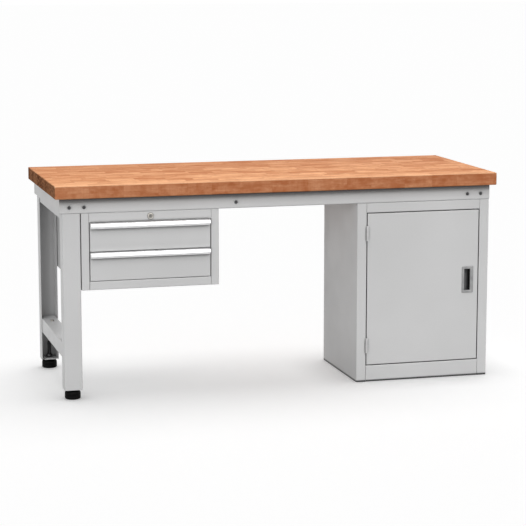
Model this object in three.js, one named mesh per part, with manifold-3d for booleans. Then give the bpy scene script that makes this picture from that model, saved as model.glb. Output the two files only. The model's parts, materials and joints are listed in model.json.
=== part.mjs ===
import * as THREE from 'three';
import { mergeVertices } from 'three/addons/utils/BufferGeometryUtils.js';
import Module from 'manifold-3d';

// Workbench with a hanging drawer unit and a cabinet. Millimetres, front towards -Y, floor at z = 0.

// Bench top
const TOP_LENGTH = 1800;
const TOP_DEPTH = 700;
const TOP_THICKNESS = 50;
const TOP_EDGE = 2;
const BENCH_HEIGHT = 840;

// Apron ring under the top
const APRON_HEIGHT = 60;
const APRON_SHEET = 3;
const APRON_END_OVERHANG = 20;
const APRON_FRONT_OVERHANG = 25;
const APRON_TOP_FLANGE = 40;
const APRON_BOTTOM_FLANGE = 30;
const BOLT_HOLE = 7;
const BOLT_END = 38;
const BOLT_PITCH = 57;
const BOLT_DROP = 36;
const BRACE_WIDTH = 60;
const BRACE_FROM_LEFT = 717;
const BRACKET_SHEET = 3;
const BRACKET_FOOT = 22;
const BRACKET_MARGIN = 10;
const BRACKET_TOP_GAP = 10;

// Left leg frame
const LEG_WIDTH = 70;
const LEG_DEPTH = 60;
const LEG_SHEET = 2.5;
const LEG_END_INSET = 10;
const LEG_LIFT = 38;
const FRONT_SETBACK = 2;
const LOWER_RAIL_TOP = 214;
const LOWER_RAIL_HEIGHT = 56;
const UPPER_RAIL_HEIGHT = 25;
const RAIL_SHEET = 2;
const RAIL_HOLE = 9;
const RAIL_HOLE_INSET = 126;

// Levelling feet
const PAD_DIAMETER = 62;
const PAD_SHOULDER = 6;
const PAD_FOOT_EDGE = 1.5;
const PAD_STEPS = 4;
const PAD_CLEARANCE = 5;
const STEM_DIAMETER = 16;
const STEM_RISE = 74;
const STEM_EDGE = 1.5;
const NUT_ACROSS = 24;
const NUT_HEIGHT = 13;
const FOOT_PLATE = 5;
const FOOT_NOTCH = 8;

// Folded sheet of the drawer unit and the cabinet
const SHEET = 1.5;
const BEND_RADIUS = 1.5;
const BEND_STEPS = 3;
const REAR_FOLD = 20;
const RAIL_RETURN = 15;

// Hanging drawer unit
const UNIT_WIDTH = 545;
const UNIT_HEIGHT = 300;
const UNIT_LEG_GAP = 3;
const UNIT_BACK_GAP = 25;
const UNIT_STILE = 31;
const UNIT_TOP_RAIL = 37;
const UNIT_BOTTOM_RAIL = 33;
const UNIT_FLANGE = 18;

// Drawers and runners
const DRAWER_SIDE_GAP = 3;
const DRAWER_SPLIT_GAP = 3;
const DRAWER_FRONT_DEPTH = 28;
const DRAWER_BOX_RISE = 10;
const DRAWER_BOX_DROP = 20;
const DRAWER_BACK_GAP = 12;
const RUNNER_HEIGHT = 40;
const RUNNER_SHEET = 1.5;
const RUNNER_LIP = 9;
const RUNNER_SPACE = 13;
const RUNNER_PLAY = 0.5;
const RUNNER_SIDE_PLAY = 2;
const RUNNER_RISE = 14;
const RUNNER_LENGTH = 560;
const GRIP_INSET = 2;
const GRIP_REACH = 17;
const GRIP_HEIGHT = 19.5;
const GRIP_WALL = 3;
const GRIP_FLAT = 9;
const GRIP_NOSE = 2;
const GRIP_ROOF = 4.7;
const GRIP_BACK = 23;
const GRIP_DROP = 0.5;

// Drawer lock
const LOCK_ROSE = 24;
const LOCK_ROSE_DEPTH = 3;
const LOCK_BARREL = 19.4;
const LOCK_ROTOR = 14.4;
const LOCK_LENGTH = 14;
const TONGUE_REACH = 32;
const TONGUE_WIDTH = 14;
const TONGUE_SHEET = 2.5;
const TONGUE_SLOT_PLAY = 2.5;
const KEY_SLOT_WIDTH = 1.8;
const KEY_SLOT_HEIGHT = 8.4;
const KEY_SLOT_DEPTH = 6;

// Cabinet
const CABINET_WIDTH = 562;
const CABINET_DEPTH = 450;
const CABINET_STILE = 40;
const CABINET_STILE_RETURN = 20;
const CABINET_TOP_RAIL = 39;
const CABINET_BASE_RAIL = 67;
const BACK_GAP = 2;
const SHELF_HEIGHT = 360;
const SHELF_FOLD = 25;
const SHELF_SETBACK = 60;
const SHELF_RAIL = 22;

// Door, hinges, pull and catch
const DOOR_GAP = 3;
const DOOR_DEPTH = 20;
const DOOR_LIP = 14;
const STIFFENER_WIDTH = 60;
const STIFFENER_DEPTH = 15;
const HINGE_HEIGHT = 60;
const HINGE_INSET = 80;
const KNUCKLE_DIAMETER = 10;
const PIN_DIAMETER = 5;
const LEAF_SHEET = 1.2;
const LEAF_WIDTH = 16;
const PULL_WIDTH = 48;
const PULL_HEIGHT = 108;
const PULL_FRAME = 3;
const PULL_FRAME_EDGE = 1;
const PULL_WINDOW_WIDTH = 26;
const PULL_WINDOW_HEIGHT = 88;
const PULL_WINDOW_SHIFT = 2;
const PULL_EDGE_INSET = 21;
const PULL_ABOVE_CENTRE = 23;
const CUP_DEPTH = 15;
const CUP_WALL = 2;
const CUP_LIP = 1.5;
const CUP_SLOPE = 12;
const CUP_UNDERCUT = 6;
const CUP_STEPS = 6;
const MAGNET_WIDTH = 40;
const MAGNET_DEPTH = 11;
const MAGNET_HEIGHT = 12;
const MAGNET_INSET = 30;

// Clearances
const GAP = 0.3;
const SEAM = 0.8;
const CUT = 1;
const MAGNET_GAP = 0.4;
const ROUND_STEPS = 28;
const BOLT_STEPS = 16;

// Levels and planes that follow from the sizes
const apronTop = BENCH_HEIGHT - TOP_THICKNESS;
const apronBottom = apronTop - APRON_HEIGHT;
const ringX = TOP_LENGTH / 2 - APRON_END_OVERHANG;
const ringY = TOP_DEPTH / 2 - APRON_FRONT_OVERHANG;
const frontY = FRONT_SETBACK - ringY;
const legX0 = LEG_END_INSET - ringX;
const legX1 = legX0 + LEG_WIDTH;

const wasm = await Module();
wasm.setup();

const bench = new THREE.Group();
bench.name = 'workbench';

const AXIS_TURN = {
  x: new THREE.Matrix4().set(0, 0, 1, 0, 1, 0, 0, 0, 0, 1, 0, 0, 0, 0, 0, 1),
  y: new THREE.Matrix4().set(0, 1, 0, 0, 0, 0, 1, 0, 1, 0, 0, 0, 0, 0, 0, 1),
  z: new THREE.Matrix4(),
};

const LOOK = {
  wood: { color: '#e2a479', roughness: 0.55, metalness: 0 },
  paint: { color: '#c6c6c6', roughness: 0.5, metalness: 0 },
  grip: { color: '#f2f2f2', roughness: 0.3, metalness: 0.6 },
  zinc: { color: '#aeb0b2', roughness: 0.4, metalness: 0.9 },
  nickel: { color: '#b9b4aa', roughness: 0.3, metalness: 0.9 },
  blackSteel: { color: '#1c1c1c', roughness: 0.5, metalness: 0.6 },
  blackPlastic: { color: '#161616', roughness: 0.6, metalness: 0 },
  frame: { color: '#9a9a9a', roughness: 0.45, metalness: 0.3 },
  magnet: { color: '#2a2a2c', roughness: 0.6, metalness: 0.1 },
};

function toSolid(geometry) {
  geometry.deleteAttribute('normal');
  geometry.deleteAttribute('uv');
  const merged = mergeVertices(geometry, 1e-4);
  const mesh = new wasm.Mesh({
    numProp: 3,
    vertProperties: Float32Array.from(merged.attributes.position.array),
    triVerts: Uint32Array.from(merged.index.array),
  });
  return new wasm.Manifold(mesh);
}

function box(x0, x1, y0, y1, z0, z1) {
  const geometry = new THREE.BoxGeometry(x1 - x0, y1 - y0, z1 - z0);
  geometry.translate((x0 + x1) / 2, (y0 + y1) / 2, (z0 + z1) / 2);
  return toSolid(geometry);
}

// Outlines are (x, y) along z, (y, z) along x and (x, z) along y.
function prism(axis, outline, from, to) {
  const swap = axis === 'y';
  const points = outline.map(([a, b]) => new THREE.Vector2(swap ? b : a, swap ? a : b));
  const geometry = new THREE.ExtrudeGeometry(new THREE.Shape(points), {
    depth: to - from,
    bevelEnabled: false,
  });
  geometry.translate(0, 0, from);
  geometry.applyMatrix4(AXIS_TURN[axis]);
  return toSolid(geometry);
}

// Round bar or cone along y or z, centred on the two other coordinates.
function round(axis, a, b, startRadius, endRadius, from, to, steps = ROUND_STEPS) {
  const geometry = new THREE.CylinderGeometry(endRadius, startRadius, to - from, steps);
  if (axis === 'z') {
    geometry.rotateX(Math.PI / 2);
    geometry.translate(a, b, (from + to) / 2);
  } else {
    geometry.translate(a, (from + to) / 2, b);
  }
  return toSolid(geometry);
}

// Turned piece about an upright axis at (x, y), from a profile of radius and height.
function turned(profile, x, y) {
  const points = profile.map(([radius, height]) => new THREE.Vector2(radius, height));
  const geometry = new THREE.LatheGeometry(points, ROUND_STEPS);
  geometry.rotateX(Math.PI / 2);
  geometry.translate(x, y, 0);
  return toSolid(geometry);
}

function direction(p, q) {
  const length = Math.hypot(q[0] - p[0], q[1] - p[1]);
  return [(q[0] - p[0]) / length, (q[1] - p[1]) / length];
}

// Points of one rounded fold.
function fold(corner, into, out, radius) {
  const cross = into[0] * out[1] - into[1] * out[0];
  const turn = Math.atan2(cross, into[0] * out[0] + into[1] * out[1]);
  const hand = Math.sign(turn);
  const run = radius * Math.tan(Math.abs(turn) / 2);
  const start = [corner[0] - into[0] * run, corner[1] - into[1] * run];
  const centre = [start[0] - into[1] * hand * radius, start[1] + into[0] * hand * radius];
  const arm = [start[0] - centre[0], start[1] - centre[1]];
  const points = [];
  for (let step = 0; step <= BEND_STEPS; step += 1) {
    const angle = (turn * step) / BEND_STEPS;
    const cos = Math.cos(angle);
    const sin = Math.sin(angle);
    points.push([centre[0] + arm[0] * cos - arm[1] * sin, centre[1] + arm[0] * sin + arm[1] * cos]);
  }
  return points;
}

// Outline of a folded sheet. The path runs on its outer face,
// the thickness lies on its left (1) or right (-1).
function folded(path, thickness, side) {
  const last = path.length - 1;
  const outer = [];
  const inner = [];
  path.forEach((point, index) => {
    const into = index > 0 ? direction(path[index - 1], point) : direction(point, path[1]);
    const out = index < last ? direction(point, path[index + 1]) : into;
    const left = [-into[1] - out[1], into[0] + out[0]];
    const share = (thickness * side) / (1 + into[0] * out[0] + into[1] * out[1]);
    const across = [point[0] + left[0] * share, point[1] + left[1] * share];
    if (index === 0 || index === last) {
      outer.push(point);
      inner.push(across);
      return;
    }
    const inside = (into[0] * out[1] - into[1] * out[0]) * side > 0;
    outer.push(...fold(point, into, out, inside ? BEND_RADIUS + thickness : BEND_RADIUS));
    inner.push(...fold(across, into, out, inside ? BEND_RADIUS : BEND_RADIUS + thickness));
  });
  return outer.concat(inner.reverse());
}

// Block whose four front edges are rounded, as on a pressed or folded panel.
function pressedBlock(x0, x1, z0, z1, front, back, radius) {
  const outline = new THREE.Shape([
    new THREE.Vector2(z0 + radius, x0 + radius),
    new THREE.Vector2(z1 - radius, x0 + radius),
    new THREE.Vector2(z1 - radius, x1 - radius),
    new THREE.Vector2(z0 + radius, x1 - radius),
  ]);
  const geometry = new THREE.ExtrudeGeometry(outline, {
    depth: back - front,
    bevelEnabled: true,
    bevelThickness: radius,
    bevelSize: radius,
    bevelSegments: BEND_STEPS,
  });
  geometry.translate(0, 0, front + radius);
  geometry.applyMatrix4(AXIS_TURN.y);
  const keep = box(x0 - CUT, x1 + CUT, front - CUT, back, z0 - CUT, z1 + CUT);
  return toSolid(geometry).intersect(keep);
}

function mirrored(outline, middle) {
  return outline.map(([a, b]) => [2 * middle - a, b]);
}

function mirroredDepth(outline) {
  return outline.map(([a, b]) => [a, -b]);
}

function piece(name, solid, look) {
  const mesh = solid.getMesh();
  const geometry = new THREE.BufferGeometry();
  geometry.setAttribute('position', new THREE.BufferAttribute(Float32Array.from(mesh.vertProperties), 3));
  geometry.setIndex(new THREE.BufferAttribute(Uint32Array.from(mesh.triVerts), 1));
  geometry.computeVertexNormals();
  const part = new THREE.Mesh(geometry, new THREE.MeshStandardMaterial(look));
  part.name = name;
  bench.add(part);
}

// Bench top with eased edges
const topHalfX = TOP_LENGTH / 2 - TOP_EDGE;
const topHalfY = TOP_DEPTH / 2 - TOP_EDGE;
const topOutline = new THREE.Shape([
  new THREE.Vector2(-topHalfX, -topHalfY),
  new THREE.Vector2(topHalfX, -topHalfY),
  new THREE.Vector2(topHalfX, topHalfY),
  new THREE.Vector2(-topHalfX, topHalfY),
]);
const topBlock = new THREE.ExtrudeGeometry(topOutline, {
  depth: TOP_THICKNESS - 2 * TOP_EDGE,
  bevelEnabled: true,
  bevelThickness: TOP_EDGE,
  bevelSize: TOP_EDGE,
  bevelSegments: 1,
});
topBlock.translate(0, 0, apronTop + TOP_EDGE);
piece('bench_top', toSolid(topBlock), LOOK.wood);

// Apron ring: four folded channels, mitred at the corners
const apronReach = Math.max(APRON_TOP_FLANGE, APRON_BOTTOM_FLANGE) + CUT;
const mitreGap = GAP * Math.SQRT2;
const apronSection = (outer) => folded([
  [outer + APRON_BOTTOM_FLANGE, apronBottom],
  [outer, apronBottom],
  [outer, apronTop],
  [outer + APRON_TOP_FLANGE, apronTop],
], APRON_SHEET, -1);
const longMitre = [
  [-ringX, -ringY],
  [ringX, -ringY],
  [ringX - apronReach, apronReach - ringY],
  [apronReach - ringX, apronReach - ringY],
];
const sideMitre = [
  [-ringX, mitreGap - ringY],
  [apronReach - ringX, apronReach + mitreGap - ringY],
  [apronReach - ringX, ringY - apronReach - mitreGap],
  [-ringX, ringY - mitreGap],
];
const longSection = apronSection(-ringY);
const sideSection = apronSection(-ringX);
const apronKeep = (outline) => prism('z', outline, apronBottom - CUT, apronTop + CUT);
const braceX = BRACE_FROM_LEFT - TOP_LENGTH / 2;
const boltZ = apronTop - BOLT_DROP;
const boltPlaces = [
  BOLT_END - ringX,
  BOLT_END + BOLT_PITCH - ringX,
  braceX,
  ringX - BOLT_END - BOLT_PITCH,
  ringX - BOLT_END,
];
const bracketY = APRON_SHEET + GAP - ringY;
const boltHoleEnd = bracketY + BRACKET_SHEET + CUT;
const boltRadius = BOLT_HOLE / 2;
const boltHole = (x) => round('y', x, boltZ, boltRadius, boltRadius, -ringY - CUT, boltHoleEnd, BOLT_STEPS);
let apronFront = prism('x', longSection, -ringX, ringX).intersect(apronKeep(longMitre));
boltPlaces.forEach((x) => {
  apronFront = apronFront.subtract(boltHole(x));
});
piece('apron_front', apronFront, LOOK.paint);
const apronRear = prism('x', mirrored(longSection, 0), -ringX, ringX);
piece('apron_rear', apronRear.intersect(apronKeep(mirroredDepth(longMitre))), LOOK.paint);
const apronLeft = prism('y', sideSection, -ringY, ringY);
piece('apron_left', apronLeft.intersect(apronKeep(sideMitre)), LOOK.paint);
const apronRight = prism('y', mirrored(sideSection, 0), -ringY, ringY);
piece('apron_right', apronRight.intersect(apronKeep(mirrored(sideMitre, 0))), LOOK.paint);

// Angle brackets in the front corners, behind the paired bolts
const bracketZ = apronBottom + APRON_SHEET + GAP;
const bracketSection = folded([
  [bracketY + BRACKET_FOOT, bracketZ],
  [bracketY, bracketZ],
  [bracketY, apronTop - APRON_SHEET - BRACKET_TOP_GAP],
], BRACKET_SHEET, -1);
[['left', boltPlaces.slice(0, 2)], ['right', boltPlaces.slice(-2)]].forEach(([place, [first, second]]) => {
  const bracket = prism('x', bracketSection, first - BRACKET_MARGIN, second + BRACKET_MARGIN)
    .subtract(boltHole(first))
    .subtract(boltHole(second));
  piece(`apron_bracket_${place}`, bracket, LOOK.paint);
});

// Cross brace between the front and rear aprons, open below
const braceTop = apronTop - APRON_SHEET - BEND_RADIUS - GAP;
const braceBottom = apronBottom + APRON_SHEET + BEND_RADIUS + GAP;
const braceSection = folded([
  [braceX - BRACE_WIDTH / 2, braceBottom],
  [braceX - BRACE_WIDTH / 2, braceTop],
  [braceX + BRACE_WIDTH / 2, braceTop],
  [braceX + BRACE_WIDTH / 2, braceBottom],
], RAIL_SHEET, -1);
const braceEnd = ringY - APRON_SHEET - GAP;
piece('apron_brace', prism('y', braceSection, -braceEnd, braceEnd), LOOK.paint);

// Legs: channels whose open sides face each other
const legSection = folded([
  [legX0, frontY + LEG_DEPTH],
  [legX0, frontY],
  [legX1, frontY],
  [legX1, frontY + LEG_DEPTH],
], LEG_SHEET, 1);
piece('leg_front', prism('z', legSection, LEG_LIFT, apronBottom), LOOK.paint);
piece('leg_rear', prism('z', mirroredDepth(legSection), LEG_LIFT, apronBottom), LOOK.paint);

// Cross rails nested in the leg channels
const railX0 = legX0 + LEG_SHEET + GAP;
const railX1 = legX1 - LEG_SHEET - GAP;
const railEnd = -frontY - LEG_SHEET - BEND_RADIUS - GAP;
const legX = (legX0 + legX1) / 2;
const railSection = (top, height) => folded([
  [railX0, top - height],
  [railX0, top],
  [railX1, top],
  [railX1, top - height],
], RAIL_SHEET, -1);
const lowerSection = railSection(LOWER_RAIL_TOP, LOWER_RAIL_HEIGHT);
let lowerRail = prism('y', lowerSection, -railEnd, railEnd);
[-1, 1].forEach((end) => {
  const y = end * (ringY - RAIL_HOLE_INSET);
  const low = LOWER_RAIL_TOP - RAIL_SHEET - CUT;
  const hole = round('z', legX, y, RAIL_HOLE / 2, RAIL_HOLE / 2, low, LOWER_RAIL_TOP + CUT);
  lowerRail = lowerRail.subtract(hole);
});
piece('leg_rail_lower', lowerRail, LOOK.paint);
const upperSection = railSection(apronBottom, UPPER_RAIL_HEIGHT);
piece('leg_rail_upper', prism('y', upperSection, -railEnd, railEnd), LOOK.paint);

// Levelling feet
const padHeight = LEG_LIFT - PAD_CLEARANCE;
const padRadius = PAD_DIAMETER / 2;
const stemRadius = STEM_DIAMETER / 2;
const plateTop = LEG_LIFT + FOOT_PLATE;
const nutRadius = NUT_ACROSS / Math.sqrt(3);
const padProfile = [
  [0, 0],
  [padRadius - PAD_FOOT_EDGE, 0],
  [padRadius, PAD_FOOT_EDGE],
  [padRadius, padHeight - PAD_SHOULDER],
];
for (let step = 1; step <= PAD_STEPS; step += 1) {
  const angle = (Math.PI / 2) * (step / PAD_STEPS);
  const inset = PAD_SHOULDER * (1 - Math.cos(angle));
  padProfile.push([padRadius - inset, padHeight - PAD_SHOULDER * (1 - Math.sin(angle))]);
}
padProfile.push([0, padHeight]);
const stemTop = LEG_LIFT + STEM_RISE;
const stemProfile = [
  [0, padHeight],
  [stemRadius, padHeight],
  [stemRadius, stemTop - STEM_EDGE],
  [stemRadius - STEM_EDGE, stemTop],
  [0, stemTop],
];
[['front', 1], ['rear', -1]].forEach(([place, sign]) => {
  const y = sign * (frontY + LEG_DEPTH / 2);
  const web = sign * (frontY + LEG_SHEET + GAP);
  const mouth = sign * (frontY + LEG_DEPTH);
  const plateY0 = Math.min(web, mouth);
  const plateY1 = Math.max(web, mouth);
  let plate = box(railX0, railX1, plateY0, plateY1, LEG_LIFT, plateTop);
  [[railX0, plateY0], [railX1, plateY0], [railX0, plateY1], [railX1, plateY1]].forEach(([cx, cy]) => {
    const notch = box(
      cx - FOOT_NOTCH,
      cx + FOOT_NOTCH,
      cy - FOOT_NOTCH,
      cy + FOOT_NOTCH,
      LEG_LIFT - CUT,
      plateTop + CUT,
    );
    plate = plate.subtract(notch);
  });
  const bore = stemRadius + GAP;
  plate = plate.subtract(round('z', legX, y, bore, bore, LEG_LIFT - CUT, plateTop + CUT));
  piece(`foot_plate_${place}`, plate, LOOK.paint);
  const nut = round('z', legX, y, nutRadius, nutRadius, plateTop, plateTop + NUT_HEIGHT, 6);
  const nutBore = round('z', legX, y, bore, bore, plateTop - CUT, plateTop + NUT_HEIGHT + CUT);
  piece(`foot_nut_${place}`, nut.subtract(nutBore), LOOK.blackSteel);
  piece(`foot_pad_${place}`, turned(padProfile, legX, y), LOOK.blackPlastic);
  piece(`foot_stem_${place}`, turned(stemProfile, legX, y), LOOK.blackSteel);
});

// Drawer unit carcass
const unitX0 = legX1 + UNIT_LEG_GAP;
const unitX1 = unitX0 + UNIT_WIDTH;
const unitX = (unitX0 + unitX1) / 2;
const unitY1 = ringY - UNIT_BACK_GAP;
const unitZ0 = apronBottom - UNIT_HEIGHT;
const unitInX0 = unitX0 + SHEET + BEND_RADIUS + GAP;
const unitInX1 = unitX1 - SHEET - BEND_RADIUS - GAP;
const unitInY1 = unitY1 - 2 * SHEET;
const unitRailX0 = unitX0 + UNIT_STILE + SEAM;
const unitRailX1 = unitX1 - UNIT_STILE - SEAM;
const unitSide = folded([
  [unitX0 + REAR_FOLD, unitY1],
  [unitX0, unitY1],
  [unitX0, frontY],
  [unitX0 + UNIT_STILE, frontY],
  [unitX0 + UNIT_STILE, frontY + RAIL_RETURN],
], SHEET, 1);
piece('unit_side_left', prism('z', unitSide, unitZ0, apronBottom), LOOK.paint);
piece('unit_side_right', prism('z', mirrored(unitSide, unitX), unitZ0, apronBottom), LOOK.paint);
const unitBack = box(unitInX0, unitInX1, unitInY1, unitY1 - SHEET, unitZ0, apronBottom).add(box(
  unitX0 + REAR_FOLD + DRAWER_SIDE_GAP,
  unitX1 - REAR_FOLD - DRAWER_SIDE_GAP,
  unitInY1,
  unitY1 + UNIT_FLANGE,
  apronBottom - SHEET,
  apronBottom,
));
piece('unit_back', unitBack, LOOK.paint);
const unitFloorSection = folded([
  [unitInY1 - GAP, unitZ0],
  [frontY, unitZ0],
  [frontY, unitZ0 + UNIT_BOTTOM_RAIL],
  [frontY + RAIL_RETURN, unitZ0 + UNIT_BOTTOM_RAIL],
], SHEET, -1);
const unitFloor = prism('x', unitFloorSection, unitRailX0, unitRailX1).add(box(
  unitInX0,
  unitInX1,
  frontY + RAIL_RETURN + GAP,
  unitInY1 - GAP,
  unitZ0,
  unitZ0 + SHEET,
));
piece('unit_floor', unitFloor, LOOK.paint);

// Top rail with the lock
const drawerTop = apronBottom - UNIT_TOP_RAIL;
const lockZ = apronBottom - UNIT_TOP_RAIL / 2;
const unitTopSection = folded([
  [frontY + APRON_BOTTOM_FLANGE, apronBottom],
  [frontY, apronBottom],
  [frontY, drawerTop],
  [frontY + RAIL_RETURN, drawerTop],
], SHEET, 1);
const barrelRadius = LOCK_BARREL / 2;
const rotorRadius = LOCK_ROTOR / 2;
const tongueY = frontY + LOCK_LENGTH + TONGUE_SHEET;
const lockBar = (radius, from, to) => round('y', unitX, lockZ, radius, radius, from, to);
const lockHole = lockBar(barrelRadius + GAP, frontY - CUT, frontY + SHEET + CUT);
const unitTopRail = prism('x', unitTopSection, unitX0 + UNIT_STILE + GAP, unitX1 - UNIT_STILE - GAP);
piece('unit_top_rail', unitTopRail.subtract(lockHole), LOOK.paint);
const roseRadius = LOCK_ROSE / 2;
const lockFront = frontY - LOCK_ROSE_DEPTH;
const roseEdge = LOCK_ROSE_DEPTH / 3;
const roseBack = lockFront + roseEdge;
const lockBody = round('y', unitX, lockZ, roseRadius - roseEdge, roseRadius, lockFront, roseBack)
  .add(lockBar(roseRadius, roseBack, frontY))
  .add(lockBar(barrelRadius, frontY - roseEdge, frontY + LOCK_LENGTH))
  .subtract(lockBar(rotorRadius + GAP, lockFront - CUT, frontY + LOCK_LENGTH + CUT));
piece('lock_body', lockBody, LOOK.nickel);
const rotorFront = lockFront + GAP;
const keySlot = box(
  unitX - KEY_SLOT_WIDTH / 2,
  unitX + KEY_SLOT_WIDTH / 2,
  rotorFront - CUT,
  rotorFront + KEY_SLOT_DEPTH,
  lockZ - KEY_SLOT_HEIGHT / 2,
  lockZ + KEY_SLOT_HEIGHT / 2,
);
const lockRotor = lockBar(rotorRadius, rotorFront, tongueY + TONGUE_SHEET)
  .subtract(keySlot)
  .add(box(
    unitX - TONGUE_WIDTH / 2,
    unitX + TONGUE_REACH,
    tongueY,
    tongueY + TONGUE_SHEET,
    lockZ - TONGUE_WIDTH / 2,
    lockZ + TONGUE_WIDTH / 2,
  ));
piece('lock_rotor', lockRotor, LOOK.nickel);

// Two equal drawers on runners
const drawerBottom = unitZ0 + UNIT_BOTTOM_RAIL;
const drawerPitch = (drawerTop - drawerBottom) / 2;
const runnerX = unitX0 + UNIT_STILE;
const boxX0 = runnerX + RUNNER_SPACE;
const boxX1 = 2 * unitX - boxX0;
const boxY1 = unitInY1 - DRAWER_BACK_GAP;
const panX0 = unitX0 + UNIT_STILE + DRAWER_SIDE_GAP;
const panX1 = 2 * unitX - panX0;
const panY1 = frontY + DRAWER_FRONT_DEPTH;
const fixedY0 = panY1 + 2 * DRAWER_SIDE_GAP;
const fixedY1 = Math.min(fixedY0 + RUNNER_LENGTH, unitInY1 - DRAWER_SIDE_GAP);
const movingY1 = Math.min(fixedY1, boxY1);
const tongueRoom = Math.sqrt(TONGUE_REACH ** 2 + (TONGUE_WIDTH / 2) ** 2);
[['lower', drawerBottom], ['upper', drawerBottom + drawerPitch]].forEach(([place, low]) => {
  const high = low + drawerPitch;
  const panZ0 = low + DRAWER_SPLIT_GAP / 2;
  const panZ1 = high - DRAWER_SPLIT_GAP / 2;
  const boxZ0 = low + DRAWER_BOX_RISE;
  const boxZ1 = high - DRAWER_BOX_DROP;
  const runZ0 = boxZ0 + RUNNER_RISE;
  const runZ1 = runZ0 + RUNNER_HEIGHT;

  const fixedSection = [
    [unitX0 + SHEET, runZ0],
    [runnerX + RUNNER_LIP, runZ0],
    [runnerX + RUNNER_LIP, runZ0 + RUNNER_SHEET],
    [runnerX, runZ0 + RUNNER_SHEET],
    [runnerX, runZ1 - RUNNER_SHEET],
    [runnerX + RUNNER_LIP, runZ1 - RUNNER_SHEET],
    [runnerX + RUNNER_LIP, runZ1],
    [runnerX - RUNNER_SHEET, runZ1],
    [runnerX - RUNNER_SHEET, runZ0 + RUNNER_SHEET],
    [unitX0 + SHEET + RUNNER_SHEET, runZ0 + RUNNER_SHEET],
    [unitX0 + SHEET + RUNNER_SHEET, runZ1],
    [unitX0 + SHEET, runZ1],
  ];
  const rideZ0 = runZ0 + RUNNER_SHEET + RUNNER_PLAY;
  const rideZ1 = runZ1 - RUNNER_SHEET - RUNNER_PLAY;
  const movingSection = [
    [boxX0, rideZ0],
    [boxX0, rideZ1],
    [runnerX + RUNNER_SIDE_PLAY, rideZ1],
    [runnerX + RUNNER_SIDE_PLAY, rideZ1 - RUNNER_SHEET],
    [boxX0 - RUNNER_SHEET, rideZ1 - RUNNER_SHEET],
    [boxX0 - RUNNER_SHEET, rideZ0 + RUNNER_SHEET],
    [runnerX + RUNNER_SIDE_PLAY, rideZ0 + RUNNER_SHEET],
    [runnerX + RUNNER_SIDE_PLAY, rideZ0],
  ];
  ['left', 'right'].forEach((hand) => {
    const lay = (outline) => (hand === 'left' ? outline : mirrored(outline, unitX));
    const fixedRunner = prism('y', lay(fixedSection), fixedY0, fixedY1);
    piece(`runner_fixed_${place}_${hand}`, fixedRunner, LOOK.zinc);
    const movingRunner = prism('y', lay(movingSection), panY1 + GAP, movingY1);
    piece(`drawer_${place}_runner_${hand}`, movingRunner, LOOK.zinc);
  });

  const panHollow = pressedBlock(
    panX0 + SHEET,
    panX1 - SHEET,
    panZ0 + SHEET,
    panZ1 - SHEET,
    frontY + SHEET,
    panY1 + CUT,
    BEND_RADIUS,
  );
  let pan = pressedBlock(panX0, panX1, panZ0, panZ1, frontY, panY1, BEND_RADIUS + SHEET)
    .subtract(panHollow);
  if (place === 'upper') {
    const tongueSlot = box(
      unitX - TONGUE_WIDTH / 2 - TONGUE_SLOT_PLAY,
      unitX + tongueRoom + TONGUE_SLOT_PLAY,
      tongueY - TONGUE_SLOT_PLAY,
      tongueY + TONGUE_SHEET + TONGUE_SLOT_PLAY,
      panZ1 - SHEET - CUT,
      panZ1 + CUT,
    );
    pan = pan.subtract(tongueSlot);
  }
  piece(`drawer_${place}_front`, pan, LOOK.paint);
  const boxHollow = box(
    boxX0 + SHEET,
    boxX1 - SHEET,
    frontY + 2 * SHEET,
    boxY1 - SHEET,
    boxZ0 + SHEET,
    boxZ1 + CUT,
  );
  piece(
    `drawer_${place}_box`,
    box(boxX0, boxX1, frontY + SHEET, boxY1, boxZ0, boxZ1).subtract(boxHollow),
    LOOK.paint,
  );

  // Bright grip strip: slanted face with a finger groove behind its lip
  const gripTop = panZ1 - GRIP_DROP;
  const grip = [
    [0, 0],
    [GRIP_FLAT, 0],
    [GRIP_FLAT + GRIP_WALL, -GRIP_NOSE],
    [GRIP_REACH, GRIP_NOSE - GRIP_HEIGHT],
    [GRIP_REACH - GRIP_NOSE / 2, -GRIP_HEIGHT],
    [GRIP_REACH - GRIP_WALL, -GRIP_HEIGHT],
    [GRIP_FLAT + GRIP_NOSE / 2, -GRIP_ROOF],
    [GRIP_WALL, -GRIP_ROOF],
    [GRIP_WALL, -GRIP_BACK],
    [0, -GRIP_BACK],
  ].map(([reach, rise]) => [frontY - reach, gripTop + rise]);
  piece(`drawer_${place}_grip`, prism('x', grip, panX0 + GRIP_INSET, panX1 - GRIP_INSET), LOOK.grip);
});

// Cabinet carcass
const cabX1 = ringX;
const cabX0 = cabX1 - CABINET_WIDTH;
const cabX = (cabX0 + cabX1) / 2;
const cabY1 = frontY + CABINET_DEPTH;
const cabInX0 = cabX0 + SHEET + BEND_RADIUS + GAP;
const cabInX1 = cabX1 - SHEET - BEND_RADIUS - GAP;
const cabInY1 = cabY1 - 2 * SHEET;
const cabRailX0 = cabX0 + CABINET_STILE + SEAM;
const cabRailX1 = cabX1 - CABINET_STILE - SEAM;
const cabStileY = frontY + CABINET_STILE_RETURN + GAP;
const cabSide = folded([
  [cabX0 + REAR_FOLD, cabY1],
  [cabX0, cabY1],
  [cabX0, frontY],
  [cabX0 + CABINET_STILE, frontY],
  [cabX0 + CABINET_STILE, frontY + CABINET_STILE_RETURN],
], SHEET, 1);
piece('cabinet_side_left', prism('z', cabSide, 0, apronBottom), LOOK.paint);
piece('cabinet_side_right', prism('z', mirrored(cabSide, cabX), 0, apronBottom), LOOK.paint);
const cabBack = box(cabInX0, cabInX1, cabInY1, cabY1 - SHEET, BACK_GAP, apronBottom - BACK_GAP);
piece('cabinet_back', cabBack, LOOK.paint);
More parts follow.
